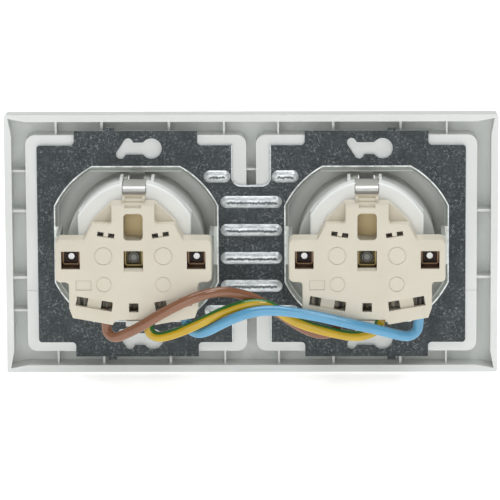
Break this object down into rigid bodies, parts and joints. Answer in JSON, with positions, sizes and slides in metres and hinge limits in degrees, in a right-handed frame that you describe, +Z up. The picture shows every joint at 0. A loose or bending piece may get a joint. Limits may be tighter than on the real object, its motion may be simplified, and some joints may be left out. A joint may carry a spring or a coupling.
{
  "type": "double wall socket",
  "caption": "Two-gang earthed wall socket in a square-edged frame, with steel support plate, cream terminal bases and coloured link wires at the rear",
  "frame": {"origin": "centre of the support plate on the wall plane", "axes": "+X to the right seen from the front, +Y into the wall towards the wiring side, +Z up"},
  "size_m": [0.152, 0.0417, 0.081],
  "materials": {
    "white_plastic": "smooth moulded",
    "cream_plastic": "fine moulded grain",
    "galvanised_steel": "dark zinc spangle",
    "plated_strip": "bright plated",
    "spring_steel": "drawn strip",
    "brass": "plain stamped",
    "zinc_steel": "zinc plated",
    "brown_insulation": "smooth extruded",
    "blue_insulation": "smooth extruded",
    "earth_insulation": "smooth extruded with a second colour in a stripe",
    "copper": "bare drawn"
  },
  "bodies": {
    "root": {"cover_frame": "white_plastic", "support_plate": "galvanised_steel", "left_centre_plate": "white_plastic", "left_contact_carrier": "cream_plastic", "left_earth_clip": "plated_strip", "left_terminal_base": "cream_plastic", "left_live_contact": "brass", "left_neutral_contact": "brass", "left_earth_bridge": "brass", "left_live_spring": "spring_steel", "left_neutral_spring": "spring_steel", "left_earth_spring": "spring_steel", "right_centre_plate": "white_plastic", "right_contact_carrier": "cream_plastic", "right_earth_clip": "plated_strip", "right_terminal_base": "cream_plastic", "right_live_contact": "brass", "right_neutral_contact": "brass", "right_earth_bridge": "brass", "right_live_spring": "spring_steel", "right_neutral_spring": "spring_steel", "right_earth_spring": "spring_steel", "centre_screws": "zinc_steel", "centre_nuts": "brass", "side_screws": "zinc_steel", "side_nuts": "brass", "brown_wire": "brown_insulation", "earth_wire": "earth_insulation", "blue_wire": "blue_insulation", "conductor_ends": "copper"}
  },
  "joints": []
}
